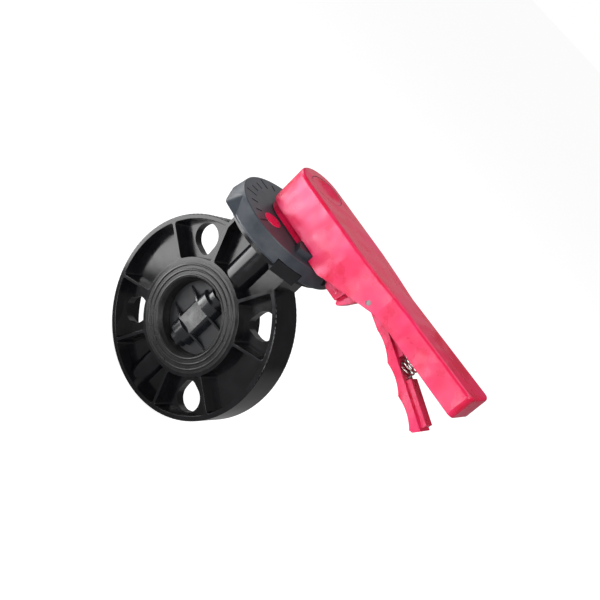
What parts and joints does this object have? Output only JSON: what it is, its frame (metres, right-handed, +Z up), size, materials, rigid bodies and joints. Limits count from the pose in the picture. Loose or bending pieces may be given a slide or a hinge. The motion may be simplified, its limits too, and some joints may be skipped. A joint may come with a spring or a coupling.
{
  "type": "lever-operated butterfly valve",
  "caption": "Wafer butterfly valve for a pipe line, with a ribbed plastic ring body, a rubber-lined seat, an index plate and a hand lever with a sprung trigger.",
  "frame": {"origin": "centre of the pipe bore, halfway through the body", "axes": "+Z up the stem towards the lever, +X along the lever with the valve shut, +Y along the pipe away from the front face"},
  "size_m": [0.2755, 0.1062, 0.234],
  "materials": {
    "black_pvc": "moulded black PVC, glossy with faint flow marks",
    "seat_rubber": "smooth black rubber",
    "seal_rubber": "plain black rubber",
    "slate_plastic": "slate grey moulded plastic, satin",
    "red_plastic": "bright red moulded plastic, semi-gloss",
    "disc_plastic": "dark grey moulded plastic, glossy",
    "bush_plastic": "natural nylon",
    "steel": "turned stainless steel",
    "spring_steel": "bright spring wire"
  },
  "bodies": {
    "valve": {"body": "black_pvc", "seat_liner": "seat_rubber", "upper_bush": "bush_plastic", "bush_o_rings": "seal_rubber", "lower_bush": "bush_plastic", "gland_ring": "bush_plastic", "index_plate": "slate_plastic", "plate_screws": "steel", "screw_caps": "red_plastic"},
    "handle": {"stem": "steel", "stem_o_rings": "seal_rubber", "stem_circlip": "spring_steel", "disc": "disc_plastic", "disc_o_rings": "seal_rubber", "lever": "red_plastic", "lever_cover": "red_plastic", "lever_screw": "steel", "lever_washer": "steel", "trigger_pin": "steel", "trigger_spring": "spring_steel"},
    "trigger": {"trigger": "red_plastic"}
  },
  "joints": [
    {"name": "handle_turn", "type": "hinge", "parent": "valve", "child": "handle", "pos_m": [0, 0, 0], "axis": [0, 0, 1], "range_deg": [0, 90]},
    {"name": "trigger_squeeze", "type": "hinge", "parent": "handle", "child": "trigger", "pos_m": [0.0936, 0, 0.1312], "axis": [0, -1, 0], "range_deg": [0, 15], "stiffness_Nm_per_rad": 3, "springref_deg": -5.73, "deforming": ["trigger_spring"]}
  ]
}
